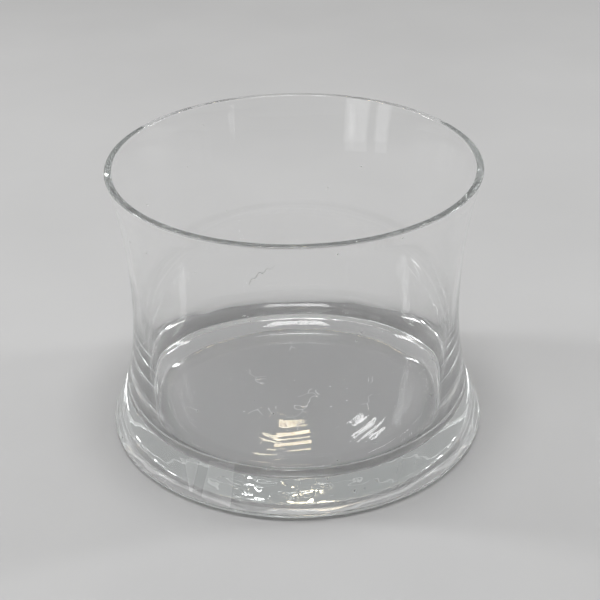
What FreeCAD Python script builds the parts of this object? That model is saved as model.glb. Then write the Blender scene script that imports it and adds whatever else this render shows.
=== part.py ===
import FreeCAD, Part
import math
import os

# A heavy hand-made mixing glass, open at the top.  It is two gathers of clear glass, fused hot:
# the blown bowl, with its waisted wall and rounded heel, and the solid foot that is cast on under it.
# +Z is up.  The origin is the centre of the flat underside.  All sizes are in millimetres.

# Driving dimensions: outside of the bowl
HEIGHT = 101.3            # underside to the flat top of the lip
RIM_RADIUS = 65.0         # outside of the lip
RIM_WALL = 2.6            # glass thickness at the lip
LIP_EDGE_RADIUS = 0.5     # softened edges on both sides of the lip's flat top
WAIST_RADIUS = 59.0       # outside of the wall where it is narrowest
WAIST_HEIGHT = 51.0
LOWER_WALL_RADIUS = 155.0     # long concave curve from the waist down
COVE_HEIGHT = 22.5            # where the long curve tightens into the cove
COVE_RADIUS = 42.0            # short concave curve that turns the wall out into the foot
FLANK_SLOPE = math.radians(21.5)  # lean of the foot's straight flank, from the vertical

# Driving dimensions: inside of the bowl
INNER_WAIST_RADIUS = 57.0     # bore where it is narrowest
INNER_WAIST_HEIGHT = 50.0
INNER_LOWER_RADIUS = 600.0    # almost straight curve from the inner waist down to the corner
FLOOR_HEIGHT = 5.5        # inner floor at its centre
FLOOR_RADIUS = 2500.0     # very shallow dish of the inner floor
CORNER_RADIUS = 10.0      # inner corner between floor and wall

# Driving dimensions: foot
PAD_THICKNESS = 3.4       # solid glass under the bowl's flat bottom
FOOT_EDGE_RADIUS = 2.0    # rounded outer edge that meets the table


def at(r, z):
    """A point of the half section: distance from the axis, and height."""
    return FreeCAD.Vector(r, 0, z)


def around(centre, radius, angle):
    """The point at an angle on a circle of the half section, 0 outward and 90 degrees up."""
    return at(centre.x + radius * math.cos(angle), centre.z + radius * math.sin(angle))


def line(start, end):
    return Part.LineSegment(start, end).toShape()


def arc(centre, radius, start_angle, end_angle):
    middle_angle = (start_angle + end_angle) / 2
    points = [around(centre, radius, a) for a in (start_angle, middle_angle, end_angle)]
    return Part.Arc(*points).toShape()


def revolve(edges, name):
    """Turn a closed half section about the Z axis and write it as one solid."""
    face = Part.Face(Part.Wire(Part.__sortEdges__(edges)))
    solid = face.revolve(FreeCAD.Vector(0, 0, 0), FreeCAD.Vector(0, 0, 1), 360)
    if not solid.isValid() or len(solid.Solids) != 1:
        raise RuntimeError(name + " is not one valid solid")
    solid = solid.Solids[0]
    solid.exportStep("parts/" + name + ".step")
    print(name, "volume %.1f cm3" % (solid.Volume / 1000))
    return solid


def lip_edge_centre(side):
    """Centre of the softened edge on the outside (side +1) or the inside (side -1) of the lip."""
    outer_r = RIM_RADIUS - LIP_EDGE_RADIUS
    inner_r = RIM_RADIUS - RIM_WALL + LIP_EDGE_RADIUS
    return at(outer_r if side > 0 else inner_r, HEIGHT - LIP_EDGE_RADIUS)


def flare_to_lip(start_radius, start_height, side):
    """The arc from an upright tangent up to the softened edge of the lip, and the wall's lean there.

    The arc has to end tangent to the edge's round, and the wall's lean there depends on the arc, so both
    are found together.
    """
    edge = lip_edge_centre(side)
    lean = 0.0
    for _ in range(30):
        end_r = edge.x + side * LIP_EDGE_RADIUS * math.cos(lean)
        end_z = edge.z - side * LIP_EDGE_RADIUS * math.sin(lean)
        lean = 2 * math.atan2(end_r - start_radius, end_z - start_height)
    radius = (end_z - start_height) / math.sin(lean)
    centre = at(start_radius + radius, start_height)
    return arc(centre, radius, math.pi, math.pi - lean), lean


def lip(outer_lean, inner_lean):
    """The flat polished top of the lip, between its two softened edges."""
    outer = lip_edge_centre(+1)
    inner = lip_edge_centre(-1)
    outer_edge = arc(outer, LIP_EDGE_RADIUS, -outer_lean, math.pi / 2)
    inner_edge = arc(inner, LIP_EDGE_RADIUS, math.pi / 2, math.pi - inner_lean)
    return [outer_edge, line(at(outer.x, HEIGHT), at(inner.x, HEIGHT)), inner_edge]


def outer_lower_wall():
    """The two concave arcs from the waist down to where the bowl meets the foot's flank."""
    wall_centre = at(WAIST_RADIUS + LOWER_WALL_RADIUS, WAIST_HEIGHT)
    cove_lean = math.asin((WAIST_HEIGHT - COVE_HEIGHT) / LOWER_WALL_RADIUS)
    wall_arc = arc(wall_centre, LOWER_WALL_RADIUS, math.pi, math.pi + cove_lean)
    cove_start = around(wall_centre, LOWER_WALL_RADIUS, math.pi + cove_lean)
    cove_centre = around(cove_start, COVE_RADIUS, cove_lean)
    cove_arc = arc(cove_centre, COVE_RADIUS, math.pi + cove_lean, math.pi + FLANK_SLOPE)
    junction = around(cove_centre, COVE_RADIUS, math.pi + FLANK_SLOPE)
    return [wall_arc, cove_arc], junction


def heel(junction):
    """The bowl's rounded heel and flat bottom, which is also the seat in the top of the foot."""
    heel_radius = junction.z - PAD_THICKNESS
    centre = at(junction.x - heel_radius, junction.z)
    heel_arc = arc(centre, heel_radius, 0, -math.pi / 2)
    bottom = line(at(centre.x, PAD_THICKNESS), at(0, PAD_THICKNESS))
    return [heel_arc, bottom]


def inner_corner():
    """Centre of the round corner that touches both the dished floor and the inner lower wall.

    Its height depends on its distance from the axis and the other way round, so both are found together.
    """
    reach = INNER_LOWER_RADIUS + CORNER_RADIUS
    corner_r = INNER_WAIST_RADIUS
    for _ in range(40):
        drop = math.sqrt((FLOOR_RADIUS - CORNER_RADIUS) ** 2 - corner_r ** 2)
        corner_z = FLOOR_HEIGHT + FLOOR_RADIUS - drop
        inset = math.sqrt(reach ** 2 - (INNER_WAIST_HEIGHT - corner_z) ** 2)
        corner_r = INNER_WAIST_RADIUS + INNER_LOWER_RADIUS - inset
    return at(corner_r, corner_z)


def inner_profile():
    """The dished floor, the round corner and the inner lower wall, each tangent to the next."""
    corner_centre = inner_corner()
    dish_centre = at(0, FLOOR_HEIGHT + FLOOR_RADIUS)
    wall_centre = at(INNER_WAIST_RADIUS + INNER_LOWER_RADIUS, INNER_WAIST_HEIGHT)
    floor_angle = math.atan2(corner_centre.z - dish_centre.z, corner_centre.x)
    wall_lean = math.atan2(wall_centre.z - corner_centre.z, wall_centre.x - corner_centre.x)
    dish = arc(dish_centre, FLOOR_RADIUS, -math.pi / 2, floor_angle)
    corner = arc(corner_centre, CORNER_RADIUS, floor_angle, wall_lean)
    lower_wall = arc(wall_centre, INNER_LOWER_RADIUS, math.pi + wall_lean, math.pi)
    return [dish, corner, lower_wall]


def make_bowl():
    outer_flare, outer_lean = flare_to_lip(WAIST_RADIUS, WAIST_HEIGHT, +1)
    inner_flare, inner_lean = flare_to_lip(INNER_WAIST_RADIUS, INNER_WAIST_HEIGHT, -1)
    lower_wall, junction = outer_lower_wall()
    axis = line(at(0, PAD_THICKNESS), at(0, FLOOR_HEIGHT))
    outside = heel(junction) + lower_wall + [outer_flare]
    inside = [inner_flare] + inner_profile()
    return revolve(outside + lip(outer_lean, inner_lean) + inside + [axis], "bowl")


def make_foot():
    _, junction = outer_lower_wall()
    edge_centre_z = FOOT_EDGE_RADIUS
    flank_end_z = edge_centre_z + FOOT_EDGE_RADIUS * math.sin(FLANK_SLOPE)
    flank_end_r = junction.x + (junction.z - flank_end_z) * math.tan(FLANK_SLOPE)
    edge_centre = at(flank_end_r - FOOT_EDGE_RADIUS * math.cos(FLANK_SLOPE), edge_centre_z)
    flank = line(junction, at(flank_end_r, flank_end_z))
    edge = arc(edge_centre, FOOT_EDGE_RADIUS, FLANK_SLOPE, -math.pi / 2)
    underside = line(at(edge_centre.x, 0), at(0, 0))
    axis = line(at(0, 0), at(0, PAD_THICKNESS))
    print("foot radius %.2f mm, join at height %.2f mm" % (edge_centre.x + FOOT_EDGE_RADIUS, junction.z))
    return revolve([flank, edge, underside, axis] + heel(junction), "foot")


def main():
    os.makedirs("parts", exist_ok=True)
    make_bowl()
    make_foot()


main()
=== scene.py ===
import math

import bpy
from mathutils import Matrix, Vector, noise


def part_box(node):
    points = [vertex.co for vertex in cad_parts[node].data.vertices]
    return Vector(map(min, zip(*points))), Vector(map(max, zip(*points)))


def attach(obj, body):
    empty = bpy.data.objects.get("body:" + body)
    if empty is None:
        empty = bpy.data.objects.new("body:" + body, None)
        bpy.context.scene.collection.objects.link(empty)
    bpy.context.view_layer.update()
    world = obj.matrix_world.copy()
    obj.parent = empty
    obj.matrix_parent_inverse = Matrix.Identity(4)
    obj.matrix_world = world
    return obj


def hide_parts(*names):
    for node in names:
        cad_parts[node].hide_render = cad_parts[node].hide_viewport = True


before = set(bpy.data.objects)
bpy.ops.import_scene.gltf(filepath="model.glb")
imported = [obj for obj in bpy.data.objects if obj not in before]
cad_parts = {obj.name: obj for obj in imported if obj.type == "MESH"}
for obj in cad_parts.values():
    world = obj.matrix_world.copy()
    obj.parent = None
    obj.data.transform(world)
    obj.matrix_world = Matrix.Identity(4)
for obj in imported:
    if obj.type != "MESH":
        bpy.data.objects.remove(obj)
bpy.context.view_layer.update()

# A heavy hand-made mixing glass, as one closed shell of clear glass.  Half-section sizes are in
# millimetres and become metres when the shell is made.  Heights and outer radii come from the frame.

MM = 0.001
BOWL_LOW, BOWL_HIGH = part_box("bowl")
FOOT_LOW, FOOT_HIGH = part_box("foot")
HEIGHT = BOWL_HIGH[2] / MM
RIM_RADIUS = BOWL_HIGH[0] / MM
FOOT_RADIUS = FOOT_HIGH[0] / MM

# Outside
RIM_WALL = 2.6
LIP_EDGE_RADIUS = 0.5
WAIST_RADIUS = 59.0
WAIST_HEIGHT = 51.0
LOWER_WALL_RADIUS = 155.0
COVE_HEIGHT = 22.5
COVE_RADIUS = 42.0
FLANK_SLOPE = math.radians(21.5)
FOOT_EDGE_RADIUS = 2.0

# Inside
INNER_WAIST_RADIUS = 57.0
INNER_WAIST_HEIGHT = 50.0
INNER_LOWER_RADIUS = 600.0
FLOOR_HEIGHT = 5.5
FLOOR_RADIUS = 2500.0
CORNER_RADIUS = 10.0

# Mesh
SEGMENTS = 320
STEP = 1.3              # longest step along the half section, in millimetres
ARC_STEP = math.radians(6)    # largest turn of one step on a tight arc
SAME_POINT = 1e-4       # points closer than this, in millimetres, are one point
ON_AXIS = 1e-6

UP = math.pi / 2


# ---- Half section ---------------------------------------------------------------------------------

def on_circle(centre, radius, angle):
    return (centre[0] + radius * math.cos(angle), centre[1] + radius * math.sin(angle))


def arc(centre, radius, start, end):
    """Points along an arc of the half section, closer together where the arc is tight."""
    turn = abs(end - start)
    count = max(2, math.ceil(turn * radius / STEP), math.ceil(turn / ARC_STEP))
    return [on_circle(centre, radius, start + (end - start) * i / count) for i in range(count + 1)]


def line(start, end):
    length = math.dist(start, end)
    count = max(1, math.ceil(length / STEP))
    return [(start[0] + (end[0] - start[0]) * i / count, start[1] + (end[1] - start[1]) * i / count)
            for i in range(count + 1)]


def lip_edge_centre(side):
    outer_r = RIM_RADIUS - LIP_EDGE_RADIUS
    inner_r = RIM_RADIUS - RIM_WALL + LIP_EDGE_RADIUS
    return (outer_r if side > 0 else inner_r, HEIGHT - LIP_EDGE_RADIUS)


def flare_to_lip(start_radius, start_height, side):
    """The arc from an upright tangent up to the lip's softened edge, and the wall's lean there."""
    edge = lip_edge_centre(side)
    lean = 0.0
    for _ in range(30):
        end_r = edge[0] + side * LIP_EDGE_RADIUS * math.cos(lean)
        end_z = edge[1] - side * LIP_EDGE_RADIUS * math.sin(lean)
        lean = 2 * math.atan2(end_r - start_radius, end_z - start_height)
    radius = (end_z - start_height) / math.sin(lean)
    return arc((start_radius + radius, start_height), radius, math.pi, math.pi - lean), lean


def lower_wall():
    """The long concave curve and the cove, from the waist down to the top of the foot's flank."""
    wall_centre = (WAIST_RADIUS + LOWER_WALL_RADIUS, WAIST_HEIGHT)
    cove_lean = math.asin((WAIST_HEIGHT - COVE_HEIGHT) / LOWER_WALL_RADIUS)
    wall = arc(wall_centre, LOWER_WALL_RADIUS, math.pi, math.pi + cove_lean)
    cove_centre = on_circle(wall[-1], COVE_RADIUS, cove_lean)
    cove = arc(cove_centre, COVE_RADIUS, math.pi + cove_lean, math.pi + FLANK_SLOPE)
    return wall, cove


def inner_corner():
    """Centre of the round corner that touches both the dished floor and the inner lower wall."""
    reach = INNER_LOWER_RADIUS + CORNER_RADIUS
    corner_r = INNER_WAIST_RADIUS
    for _ in range(40):
        below_dish_centre = math.sqrt((FLOOR_RADIUS - CORNER_RADIUS) ** 2 - corner_r ** 2)
        corner_z = FLOOR_HEIGHT + FLOOR_RADIUS - below_dish_centre
        inset = math.sqrt(reach ** 2 - (INNER_WAIST_HEIGHT - corner_z) ** 2)
        corner_r = INNER_WAIST_RADIUS + INNER_LOWER_RADIUS - inset
    return (corner_r, corner_z)


def inner_profile():
    """The dished floor, the round corner and the inner lower wall, from the axis up to the inner waist."""
    centre = inner_corner()
    dish_centre = (0.0, FLOOR_HEIGHT + FLOOR_RADIUS)
    wall_centre = (INNER_WAIST_RADIUS + INNER_LOWER_RADIUS, INNER_WAIST_HEIGHT)
    floor_angle = math.atan2(centre[1] - dish_centre[1], centre[0])
    wall_lean = math.atan2(wall_centre[1] - centre[1], wall_centre[0] - centre[0])
    dish = arc(dish_centre, FLOOR_RADIUS, -UP, floor_angle)
    corner = arc(centre, CORNER_RADIUS, floor_angle, wall_lean)
    lower_wall = arc(wall_centre, INNER_LOWER_RADIUS, math.pi + wall_lean, math.pi)
    return dish, corner, lower_wall


def half_section():
    """The outline from the underside's centre, up the outside, over the lip and down to the floor.

    Each entry is (zone, points).  A zone's name picks how uneven the hand-made surface is there.
    """
    wall, cove = lower_wall()
    junction = cove[-1]
    edge_centre = (FOOT_RADIUS - FOOT_EDGE_RADIUS, FOOT_EDGE_RADIUS)
    foot_edge = arc(edge_centre, FOOT_EDGE_RADIUS, -UP, FLANK_SLOPE)
    outer_flare, outer_lean = flare_to_lip(WAIST_RADIUS, WAIST_HEIGHT, +1)
    inner_flare, inner_lean = flare_to_lip(INNER_WAIST_RADIUS, INNER_WAIST_HEIGHT, -1)
    outer_lip = lip_edge_centre(+1)
    inner_lip = lip_edge_centre(-1)
    dish, corner, inner_lower = inner_profile()
    return [
        ("underside", line((0.0, 0.0), foot_edge[0])),
        ("foot", foot_edge),
        ("foot", line(foot_edge[-1], junction)),
        ("outer wall", cove[::-1] + wall[::-1] + outer_flare),
        ("lip", arc(outer_lip, LIP_EDGE_RADIUS, -outer_lean, UP)),
        ("lip", line((outer_lip[0], HEIGHT), (inner_lip[0], HEIGHT))),
        ("lip", arc(inner_lip, LIP_EDGE_RADIUS, UP, math.pi - inner_lean)),
        ("inner wall", inner_flare[::-1] + inner_lower[::-1]),
        ("corner", corner[::-1]),
        ("floor", dish[::-1]),
    ]


# ---- Hand-made unevenness -------------------------------------------------------------------------
# For each zone: (depth in mm, wavelength in mm) of two layers.  The surface only ever sinks into the
# glass, so the shell stays inside the CAD box.

UNEVEN = {
    "underside": ((0.02, 14.0), (0.01, 6.0)),
    "foot": ((0.14, 17.0), (0.05, 8.0)),
    "outer wall": ((0.12, 42.0), (0.03, 15.0)),
    "lip": ((0.02, 30.0), (0.0, 10.0)),
    "inner wall": ((0.12, 34.0), (0.04, 13.0)),
    "corner": ((0.16, 24.0), (0.05, 11.0)),
    "floor": ((0.05, 22.0), (0.01, 10.0)),
}
BLEND_LENGTH = 5.0      # millimetres over which one zone's unevenness fades into the next
LAYER_OFFSETS = (Vector((13.7, 4.1, 8.3)), Vector((41.2, 27.9, 3.6)))


def smooth_section():
    """One list of (r, z, depths, normal into the glass) along the half section, without doubled points."""
    points = []
    zones = []
    for zone, stretch in half_section():
        for point in stretch:
            if points and math.dist(point, points[-1]) < SAME_POINT:
                continue
            points.append(point)
            zones.append(zone)
    lengths = [0.0]
    for a, b in zip(points, points[1:]):
        lengths.append(lengths[-1] + math.dist(a, b))
    rows = []
    for i, (r, z) in enumerate(points):
        before = points[max(i - 1, 0)]
        after = points[min(i + 1, len(points) - 1)]
        along = Vector((after[0] - before[0], after[1] - before[1])).normalized()
        rows.append((r, z, blended_depths(i, lengths, zones), (-along.y, along.x)))
    return rows


def blended_depths(i, lengths, zones):
    """The two layers' (depth, wavelength) at a point.  The depths are averaged over its neighbourhood."""
    total = 0.0
    mixed = [0.0, 0.0]
    for j, zone in enumerate(zones):
        gap = abs(lengths[j] - lengths[i])
        if gap > BLEND_LENGTH:
            continue
        weight = 1.0 - gap / BLEND_LENGTH + 1e-3
        total += weight
        for layer in (0, 1):
            mixed[layer] += weight * UNEVEN[zone][layer][0]
    wavelengths = [UNEVEN[zones[i]][layer][1] for layer in (0, 1)]
    return [(mixed[layer] / total, wavelengths[layer]) for layer in (0, 1)]


def sink(point, depths):
    """How far the surface sinks into the glass at a point, in millimetres."""
    total = 0.0
    for (depth, wavelength), offset in zip(depths, LAYER_OFFSETS):
        total += depth * (0.5 + 0.5 * noise.noise(point / wavelength + offset))
    return total


# ---- The shell ------------------------------------------------------------------------------------

def lathe(rows):
    """A closed mesh from the half section, which starts and ends on the axis."""
    verts = []
    rings = []
    for r, z, depths, normal in rows:
        if r < ON_AXIS:
            rings.append([len(verts)])
            verts.append(Vector((0.0, 0.0, z)) * MM)
            continue
        ring = []
        for k in range(SEGMENTS):
            angle = 2 * math.pi * k / SEGMENTS
            c = math.cos(angle)
            s = math.sin(angle)
            depth = sink(Vector((r * c, r * s, z)), depths)
            rr = r + normal[0] * depth
            ring.append(len(verts))
            verts.append(Vector((rr * c, rr * s, z + normal[1] * depth)) * MM)
        rings.append(ring)
    faces = []
    for lower, upper in zip(rings, rings[1:]):
        for k in range(SEGMENTS):
            n = (k + 1) % SEGMENTS
            if len(lower) == 1:
                faces.append((lower[0], upper[n], upper[k]))
            elif len(upper) == 1:
                faces.append((lower[k], lower[n], upper[0]))
            else:
                faces.append((lower[k], lower[n], upper[n], upper[k]))
    mesh = bpy.data.meshes.new("glass_vessel")
    mesh.from_pydata(verts, [], faces)
    mesh.validate()
    mesh.polygons.foreach_set("use_smooth", [True] * len(mesh.polygons))
    mesh.update()
    return mesh


def make_vessel():
    vessel = bpy.data.objects.new("glass_vessel", lathe(smooth_section()))
    bpy.context.scene.collection.objects.link(vessel)
    vessel.data.materials.append(glass_material())
    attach(vessel, "root")
    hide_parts("bowl", "foot")


# ---- Materials ------------------------------------------------------------------------------------
# Sizes in the materials are in metres.

GLASS_IOR = 1.52
GLASS_TINT = (0.84, 0.93, 0.90, 1.0)
GLASS_DENSITY = 2.5
FILM_ROUGHNESS = 0.03
WEAR_ROUGHNESS = 0.35
DUST_ROUGHNESS = 0.75

# The worn part of the inner floor: a disc that fades at its edge, above the underside
WORN_RADIUS = (0.0400, 0.0450)
WORN_LOW = (0.002, 0.004)
WORN_HIGH = (0.007, 0.009)

RIPPLE_LENGTH = 0.0045  # from ring to ring in the inner floor
RIPPLE_DEPTH = 6e-6
RIPPLE_WANDER = 14.0    # how far noise pushes the rings out of round, in radians of phase
RIPPLE_WANDER_SCALE = 42.0

# Fine scratches.  The scales are cells or noise patches per metre, and the width is in cells.
SCRATCH_DEPTH = 1.0e-5
SCRATCH_SHIFT = (0.022, 0.004, 0.0)     # which part of the scratch pattern falls on the inner floor
SCRATCH_CELLS = 90.0
SCRATCH_WIDTH = (0.006, 0.016)
SCRATCH_WARP_SCALE = 60.0
SCRATCH_WARP = 0.024
SCRATCH_PATCHES = 62.0
SCRATCH_KEEP = (0.63, 0.67)     # noise level above which a stretch is kept

# Dust specks, and the faint film left by washing
DUST_CELLS = 150.0
DUST_WIDTH = (0.035, 0.06)
DUST_CHANCE = (0.80, 0.82)      # about one cell in five has a speck
FILM_SCALE = 24.0
FILM_PATCHES = (0.55, 0.75)

# The longer scratch, seen from the front: where it starts and ends, and how it climbs and wiggles
LONG_SCRATCH_DEPTH = 6e-5
LONG_SCRATCH_START = -0.0141
LONG_SCRATCH_END = -0.0044
LONG_SCRATCH_BASE = 0.0845
LONG_SCRATCH_CLIMB = 0.0095
LONG_SCRATCH_WIGGLE = 0.0005
LONG_SCRATCH_WAVES = 24.0   # radians of wiggle from one end to the other
LONG_SCRATCH_WIDTH = (0.00010, 0.00028)
LONG_SCRATCH_FADES = (0.0003, 0.0004)   # length of the soft ends
FRONT_SIDE = (-0.02, -0.01)     # y over which the front of the glass begins
INNER_FACE = (0.0606, 0.0612)   # between the wall's two faces at the scratch's height

class Nodes:
    """A short way to add and join shader nodes."""

    def __init__(self, name):
        self.material = bpy.data.materials.new(name)
        self.material.use_nodes = True
        self.tree = self.material.node_tree
        self.tree.nodes.clear()

    def add(self, kind, values=None, **settings):
        node = self.tree.nodes.new("ShaderNode" + kind)
        for key, value in settings.items():
            setattr(node, key, value)
        for key, value in (values or {}).items():
            if isinstance(value, bpy.types.NodeSocket):
                self.tree.links.new(value, node.inputs[key])
            else:
                node.inputs[key].default_value = value
        return node

    def math(self, operation, a, b=0.0):
        return self.add("Math", {0: a, 1: b}, operation=operation).outputs[0]

    def ramp(self, value, low, high, to_low=0.0, to_high=1.0):
        inputs = {"Value": value, "From Min": low, "From Max": high, "To Min": to_low, "To Max": to_high}
        return self.add("MapRange", inputs, clamp=True).outputs["Result"]

    def noise(self, where, scale, detail=2.0, roughness=0.5):
        inputs = {"Vector": where, "Scale": scale, "Detail": detail, "Roughness": roughness}
        return self.add("TexNoise", inputs)


def scratches(n, place):
    """Fine curling scratches: the borders of warped cells, kept only in scattered short stretches."""
    where = n.add("VectorMath", {0: place, 1: SCRATCH_SHIFT}, operation="ADD").outputs[0]
    warp = n.noise(where, SCRATCH_WARP_SCALE, detail=2.0).outputs["Color"]
    shift = n.add("VectorMath", {0: warp, 1: (0.5, 0.5, 0.5)}, operation="SUBTRACT").outputs[0]
    push = n.add("VectorMath", {0: shift, "Scale": SCRATCH_WARP}, operation="SCALE").outputs[0]
    warped = n.add("VectorMath", {0: where, 1: push}, operation="ADD").outputs[0]
    cells = n.add("TexVoronoi", {"Vector": warped, "Scale": SCRATCH_CELLS}, feature="DISTANCE_TO_EDGE")
    border = n.ramp(cells.outputs["Distance"], *SCRATCH_WIDTH, 1.0, 0.0)
    keep = n.ramp(n.noise(where, SCRATCH_PATCHES, detail=1.0).outputs["Fac"], *SCRATCH_KEEP)
    return n.math("MULTIPLY", border, keep)


def long_scratch(n, place, radius):
    """One longer curling scratch high on the inside of the front wall, as a mask."""
    x = place.outputs["X"]
    across = n.ramp(x, LONG_SCRATCH_START, LONG_SCRATCH_END)
    wave = n.math("SINE", n.math("MULTIPLY", across, LONG_SCRATCH_WAVES))
    wiggle = n.math("MULTIPLY", wave, LONG_SCRATCH_WIGGLE)
    climb = n.math("MULTIPLY", n.math("POWER", across, 0.5), LONG_SCRATCH_CLIMB)
    curve = n.math("ADD", n.math("ADD", climb, wiggle), LONG_SCRATCH_BASE)
    off_curve = n.math("ABSOLUTE", n.math("SUBTRACT", place.outputs["Z"], curve))
    groove = n.ramp(off_curve, *LONG_SCRATCH_WIDTH, 1.0, 0.0)
    left_end = n.ramp(x, LONG_SCRATCH_START, LONG_SCRATCH_START + LONG_SCRATCH_FADES[0])
    right_end = n.ramp(x, LONG_SCRATCH_END - LONG_SCRATCH_FADES[1], LONG_SCRATCH_END, 1.0, 0.0)
    front = n.ramp(place.outputs["Y"], *FRONT_SIDE, 1.0, 0.0)
    inside = n.ramp(radius, *INNER_FACE, 1.0, 0.0)
    ends = n.math("MULTIPLY", left_end, right_end)
    return n.math("MULTIPLY", n.math("MULTIPLY", groove, ends), n.math("MULTIPLY", front, inside))


def specks(n, where):
    """Specks of dust and tiny seeds, one in some of the cells."""
    cells = n.add("TexVoronoi", {"Vector": where, "Scale": DUST_CELLS}, feature="F1")
    dot = n.ramp(cells.outputs["Distance"], *DUST_WIDTH, 1.0, 0.0)
    chance = n.add("SeparateColor", {"Color": cells.outputs["Color"]}).outputs[0]
    return n.math("MULTIPLY", dot, n.ramp(chance, *DUST_CHANCE))


def turning_ripples(n, where, radius):
    """The faint rings left in the floor when the gather was turned, as a height in metres."""
    wander = n.noise(where, RIPPLE_WANDER_SCALE, detail=1.0).outputs["Fac"]
    even_phase = n.math("MULTIPLY", radius, 2 * math.pi / RIPPLE_LENGTH)
    phase = n.math("ADD", even_phase, n.math("MULTIPLY", wander, RIPPLE_WANDER))
    return n.math("MULTIPLY", n.math("SINE", phase), RIPPLE_DEPTH)


def glass_material():
    """Clear soda glass, polished, with dust all over and wear on the inner floor from ice and spoons."""
    n = Nodes("clear_glass")
    where = n.add("TexCoord").outputs["Object"]
    place = n.add("SeparateXYZ", {"Vector": where})
    flat_place = n.add("CombineXYZ", {0: place.outputs["X"], 1: place.outputs["Y"], 2: 0.0}).outputs[0]
    radius = n.add("VectorMath", {0: flat_place}, operation="LENGTH").outputs["Value"]
    height = place.outputs["Z"]
    above_underside = n.ramp(height, *WORN_LOW)
    below_corner = n.ramp(height, *WORN_HIGH, 1.0, 0.0)
    inside_bore = n.ramp(radius, *WORN_RADIUS, 1.0, 0.0)
    inner_floor = n.math("MULTIPLY", n.math("MULTIPLY", above_underside, below_corner), inside_bore)

    worn = n.math("MULTIPLY", scratches(n, where), inner_floor)
    thread = long_scratch(n, place, radius)
    dust = specks(n, where)
    patches = n.noise(where, FILM_SCALE, detail=4.0, roughness=0.65).outputs["Fac"]
    film = n.ramp(patches, *FILM_PATCHES, 0.0, FILM_ROUGHNESS)
    wear = n.math("MULTIPLY", n.math("MAXIMUM", worn, thread), WEAR_ROUGHNESS)
    marks = n.math("MAXIMUM", wear, n.math("MULTIPLY", dust, DUST_ROUGHNESS))
    roughness = n.math("MAXIMUM", marks, film)

    ripples = n.math("MULTIPLY", turning_ripples(n, where, radius), inner_floor)
    fine_grooves = n.math("MULTIPLY", worn, -SCRATCH_DEPTH)
    grooves = n.math("ADD", fine_grooves, n.math("MULTIPLY", thread, -LONG_SCRATCH_DEPTH))
    relief = n.math("ADD", ripples, grooves)
    bump = n.add("Bump", {"Strength": 1.0, "Distance": 1.0, "Height": relief})
    glass = n.add("BsdfPrincipled", {
        "Base Color": (1.0, 1.0, 1.0, 1.0), "Roughness": roughness, "IOR": GLASS_IOR,
        "Transmission Weight": 1.0, "Normal": bump.outputs["Normal"],
    })
    body = n.add("VolumeAbsorption", {"Color": GLASS_TINT, "Density": GLASS_DENSITY})
    out = n.add("OutputMaterial")
    n.tree.links.new(glass.outputs["BSDF"], out.inputs["Surface"])
    n.tree.links.new(body.outputs["Volume"], out.inputs["Volume"])
    return n.material


FLOOR_TONES = (0.52, 0.55)


def floor_material():
    """Matt pale grey paint, very slightly uneven in tone."""
    n = Nodes("pale_floor")
    where = n.add("TexCoord").outputs["Object"]
    tone = n.ramp(n.noise(where, 9.0, detail=5.0).outputs["Fac"], 0.3, 0.7, *FLOOR_TONES)
    colour = n.add("CombineColor", {0: tone, 1: tone, 2: tone}).outputs[0]
    paint = n.add("BsdfPrincipled", {"Base Color": colour, "Roughness": 0.75, "Specular IOR Level": 0.2})
    out = n.add("OutputMaterial")
    n.tree.links.new(paint.outputs["BSDF"], out.inputs["Surface"])
    return n.material


# ---- Stage ----------------------------------------------------------------------------------------

FLOOR_SIZE = 12.0       # metres
FLOOR_GAP = 0.0003      # hair of air under the glass, as on a real table
LIGHT_AIM = (0.0, 0.0, 0.05)
SURROUNDINGS = 0.36     # brightness of the plain room around the floor
MAX_BOUNCES = 64        # light bounces many times inside the wall and the foot before it leaves


def make_floor():
    half = FLOOR_SIZE / 2
    mesh = bpy.data.meshes.new("floor")
    corners = [(x, y, -FLOOR_GAP) for x, y in ((-half, -half), (half, -half), (half, half), (-half, half))]
    mesh.from_pydata(corners, [], [(0, 1, 2, 3)])
    floor = bpy.data.objects.new("floor", mesh)
    bpy.context.scene.collection.objects.link(floor)
    mesh.materials.append(floor_material())


def softbox(name, place, size, radiance, colour=(1.0, 1.0, 1.0), turn=0.0):
    """A rectangular soft light that faces the glass.  Its radiance is set, so its size can change freely."""
    light = bpy.data.lights.new(name, "AREA")
    light.shape = "RECTANGLE"
    light.size, light.size_y = size
    light.energy = radiance * math.pi * size[0] * size[1]
    light.color = colour
    lamp = bpy.data.objects.new(name, light)
    bpy.context.scene.collection.objects.link(lamp)
    facing = (Vector(LIGHT_AIM) - Vector(place)).to_track_quat("-Z", "Y").to_matrix().to_4x4()
    lamp.matrix_world = Matrix.Translation(place) @ facing @ Matrix.Rotation(turn, 4, "Z")


def toward(azimuth, elevation, distance):
    """A place seen from the glass at an azimuth (0 is +Y, 90 is +X) and an elevation, in degrees."""
    a = math.radians(azimuth)
    e = math.radians(elevation)
    flat = distance * math.cos(e)
    return (flat * math.sin(a), flat * math.cos(a), distance * math.sin(e))


WARM = (1.0, 0.84, 0.58)
WARM_PALE = (1.0, 0.88, 0.66)
BACK_DISTANCE = 2.0     # from the glass to the small lights behind it
PANE_DISTANCE = 0.6
BLIND_TURN = math.radians(-25)  # lean of the three narrow white lights


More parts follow.
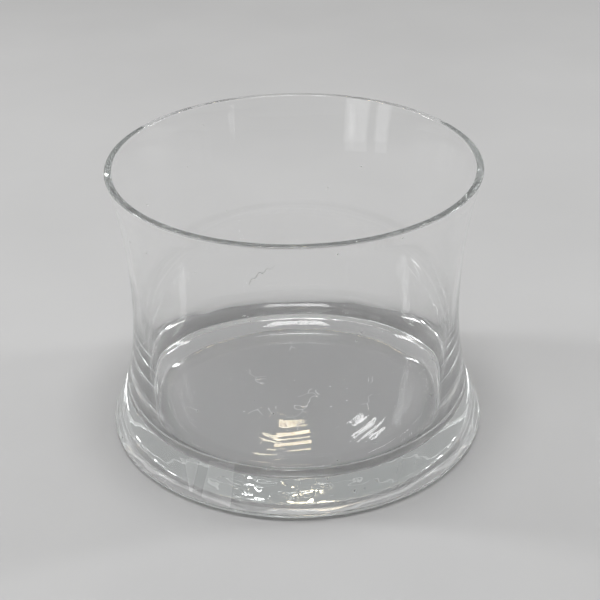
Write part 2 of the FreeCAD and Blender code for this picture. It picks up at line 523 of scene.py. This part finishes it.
def make_lights():
    """A soft overhead light, two tall side lights, a window in front and small lights behind."""
    softbox("overhead", (0.0, -0.05, 1.3), (0.50, 0.42), 11.5)
    softbox("left", toward(-80, 30, 1.0), (0.12, 0.50), 16.0)
    softbox("right", toward(76, 24, 1.0), (0.10, 0.55), 14.0)
    for i, (azimuth, width) in enumerate(((-136, 0.17), (-117, 0.10))):
        softbox("window_pane_%d" % i, toward(azimuth, 9, PANE_DISTANCE), (width, 0.26), 1.0)
    for i, azimuth in enumerate((6.0, 6.8, 7.6)):
        place = toward(azimuth, 39.2, BACK_DISTANCE)
        softbox("back_white_%d" % i, place, (0.016, 0.070), 55.0, turn=BLIND_TURN)
    softbox("back_warm", toward(-0.6, 39.4, BACK_DISTANCE), (0.09, 0.045), 30.0, WARM)
    softbox("back_warm_low", toward(-3.4, 42.5, BACK_DISTANCE), (0.07, 0.045), 30.0, WARM_PALE)


def make_world():
    world = bpy.data.worlds.new("studio")
    bpy.context.scene.world = world
    world.use_nodes = True
    world.node_tree.nodes.clear()
    background = world.node_tree.nodes.new("ShaderNodeBackground")
    background.inputs["Color"].default_value = (1.0, 1.0, 1.0, 1.0)
    background.inputs["Strength"].default_value = SURROUNDINGS
    out = world.node_tree.nodes.new("ShaderNodeOutputWorld")
    world.node_tree.links.new(background.outputs["Background"], out.inputs["Surface"])


# Camera, in units of the lip's radius
CAMERA_ELEVATION = math.radians(29.45)
CAMERA_ROLL = math.radians(-0.74)
CAMERA_DISTANCE = 7.705
CAMERA_AIM = (0.023, 0.0, 0.714)
FOCAL_LENGTH = 82.74    # millimetres on a 36 mm wide frame


def make_camera():
    data = bpy.data.cameras.new("camera")
    data.sensor_width = 36.0
    data.lens = FOCAL_LENGTH
    data.clip_start = 0.01
    camera = bpy.data.objects.new("camera", data)
    bpy.context.scene.collection.objects.link(camera)
    forward = Vector((0.0, math.cos(CAMERA_ELEVATION), -math.sin(CAMERA_ELEVATION)))
    level_up = Vector((0.0, math.sin(CAMERA_ELEVATION), math.cos(CAMERA_ELEVATION)))
    level_right = Vector((1.0, 0.0, 0.0))
    right = math.cos(CAMERA_ROLL) * level_right + math.sin(CAMERA_ROLL) * level_up
    up = math.cos(CAMERA_ROLL) * level_up - math.sin(CAMERA_ROLL) * level_right
    place = (Vector(CAMERA_AIM) - CAMERA_DISTANCE * forward) * RIM_RADIUS * MM
    turn = Matrix((right, up, -forward)).transposed()
    camera.matrix_world = Matrix.Translation(place) @ turn.to_4x4()
    bpy.context.scene.camera = camera


def main():
    scene = bpy.context.scene
    scene.cycles.max_bounces = MAX_BOUNCES
    scene.cycles.transmission_bounces = MAX_BOUNCES
    scene.cycles.glossy_bounces = MAX_BOUNCES
    scene.view_settings.view_transform = "Standard"
    make_vessel()
    make_floor()
    make_lights()
    make_world()
    make_camera()


main()
